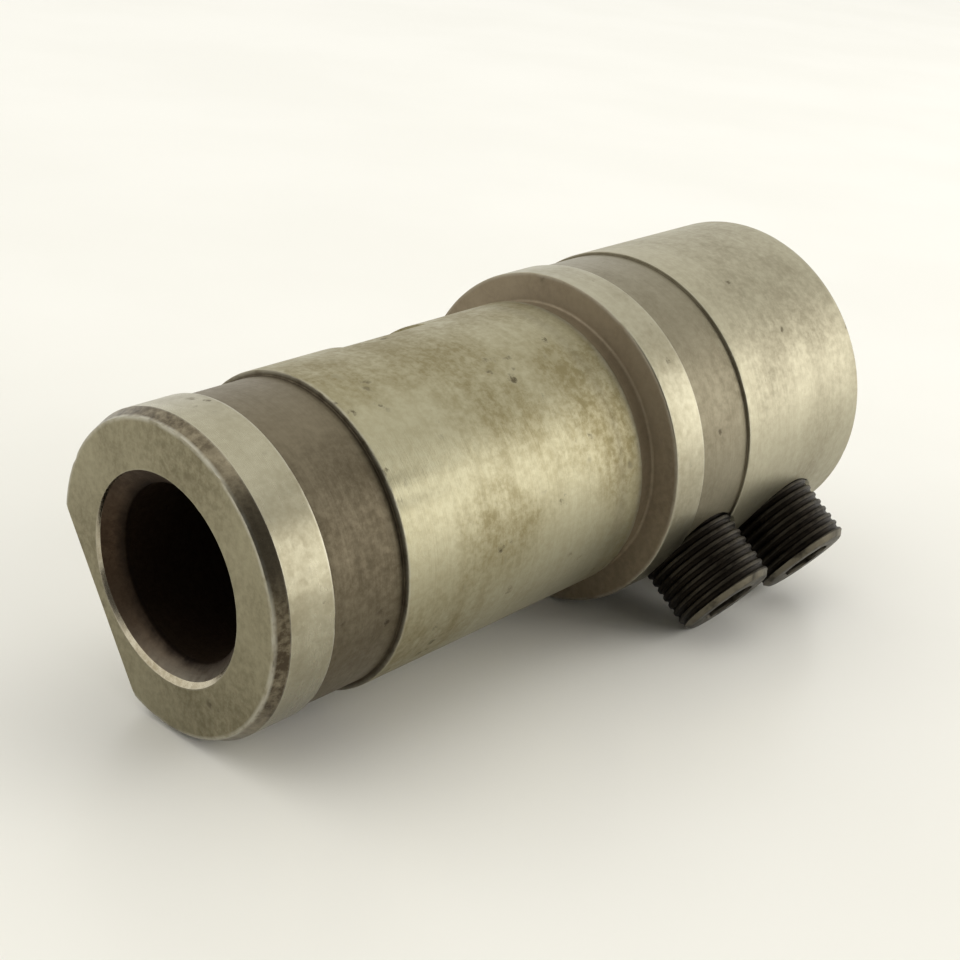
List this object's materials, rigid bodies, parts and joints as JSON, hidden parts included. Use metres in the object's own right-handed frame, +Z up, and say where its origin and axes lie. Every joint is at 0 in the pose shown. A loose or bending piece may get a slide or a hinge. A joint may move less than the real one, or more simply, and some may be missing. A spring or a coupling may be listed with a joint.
{
  "type": "set screw sleeve coupling",
  "caption": "Stepped ground steel sleeve with a through bore, a flanged head and socket set screws that clamp a shaft or tool shank.",
  "frame": {"origin": "bottom centre of the whole part's box as it lies with the bore level: 26.8 mm below the bore axis and 3.5 mm towards the screws' side of it, half way along the sleeve", "axes": "+X along the bore from the small front end to the large head end, +Z up, the set screws lean towards -Y and 36 degrees down"},
  "size_m": [0.1212, 0.059, 0.0528],
  "materials": {
    "ground_steel": "hardened steel, ground bright on the lands and barrel, darker turned grooves, light brown storage stains and handling wear",
    "black_oxide_steel": "black oxide alloy steel, oily, rubbed brown and bright on the thread crests and the end edge"
  },
  "bodies": {
    "sleeve": {"sleeve_body": "ground_steel"},
    "front_screw": {"front_set_screw": "black_oxide_steel"},
    "rear_screw": {"rear_set_screw": "black_oxide_steel"}
  },
  "joints": [
    {"name": "front_screw_travel", "type": "slide", "parent": "sleeve", "child": "front_screw", "axis": [0, -0.809, -0.5878], "range_m": [-0.0048, 0.006]},
    {"name": "rear_screw_travel", "type": "slide", "parent": "sleeve", "child": "rear_screw", "axis": [0, -0.809, -0.5878], "range_m": [-0.0048, 0.006]}
  ]
}
